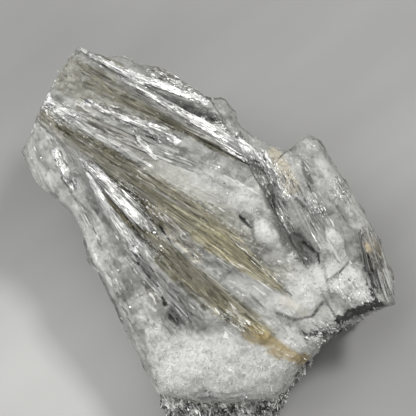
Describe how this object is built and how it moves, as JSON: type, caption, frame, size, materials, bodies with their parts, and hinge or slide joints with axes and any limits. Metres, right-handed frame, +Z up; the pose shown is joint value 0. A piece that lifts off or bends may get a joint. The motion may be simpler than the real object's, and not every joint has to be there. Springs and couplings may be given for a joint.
{
  "type": "hydroboracite specimen",
  "caption": "Hand specimen of hydroboracite: fanned sprays of long flat crystals grown into one pale mass, lying face up on a slab of dark clay rock.",
  "frame": {"origin": "in the flat underside of the clay slab that the specimen rests on, below the middle of the crystal face", "axes": "+Z up, out of the display side; -Y the low front edge of the face, where the clay slab comes out from under the crystals; +X to the right seen from the front"},
  "size_m": [0.0747, 0.0783, 0.0375],
  "materials": {
    "crystals": "satin to glassy, fibrous",
    "clay": "matt, rough broken rock"
  },
  "bodies": {
    "root": {"hydroboracite_crystals": "crystals", "clay_matrix": "clay"}
  },
  "joints": []
}
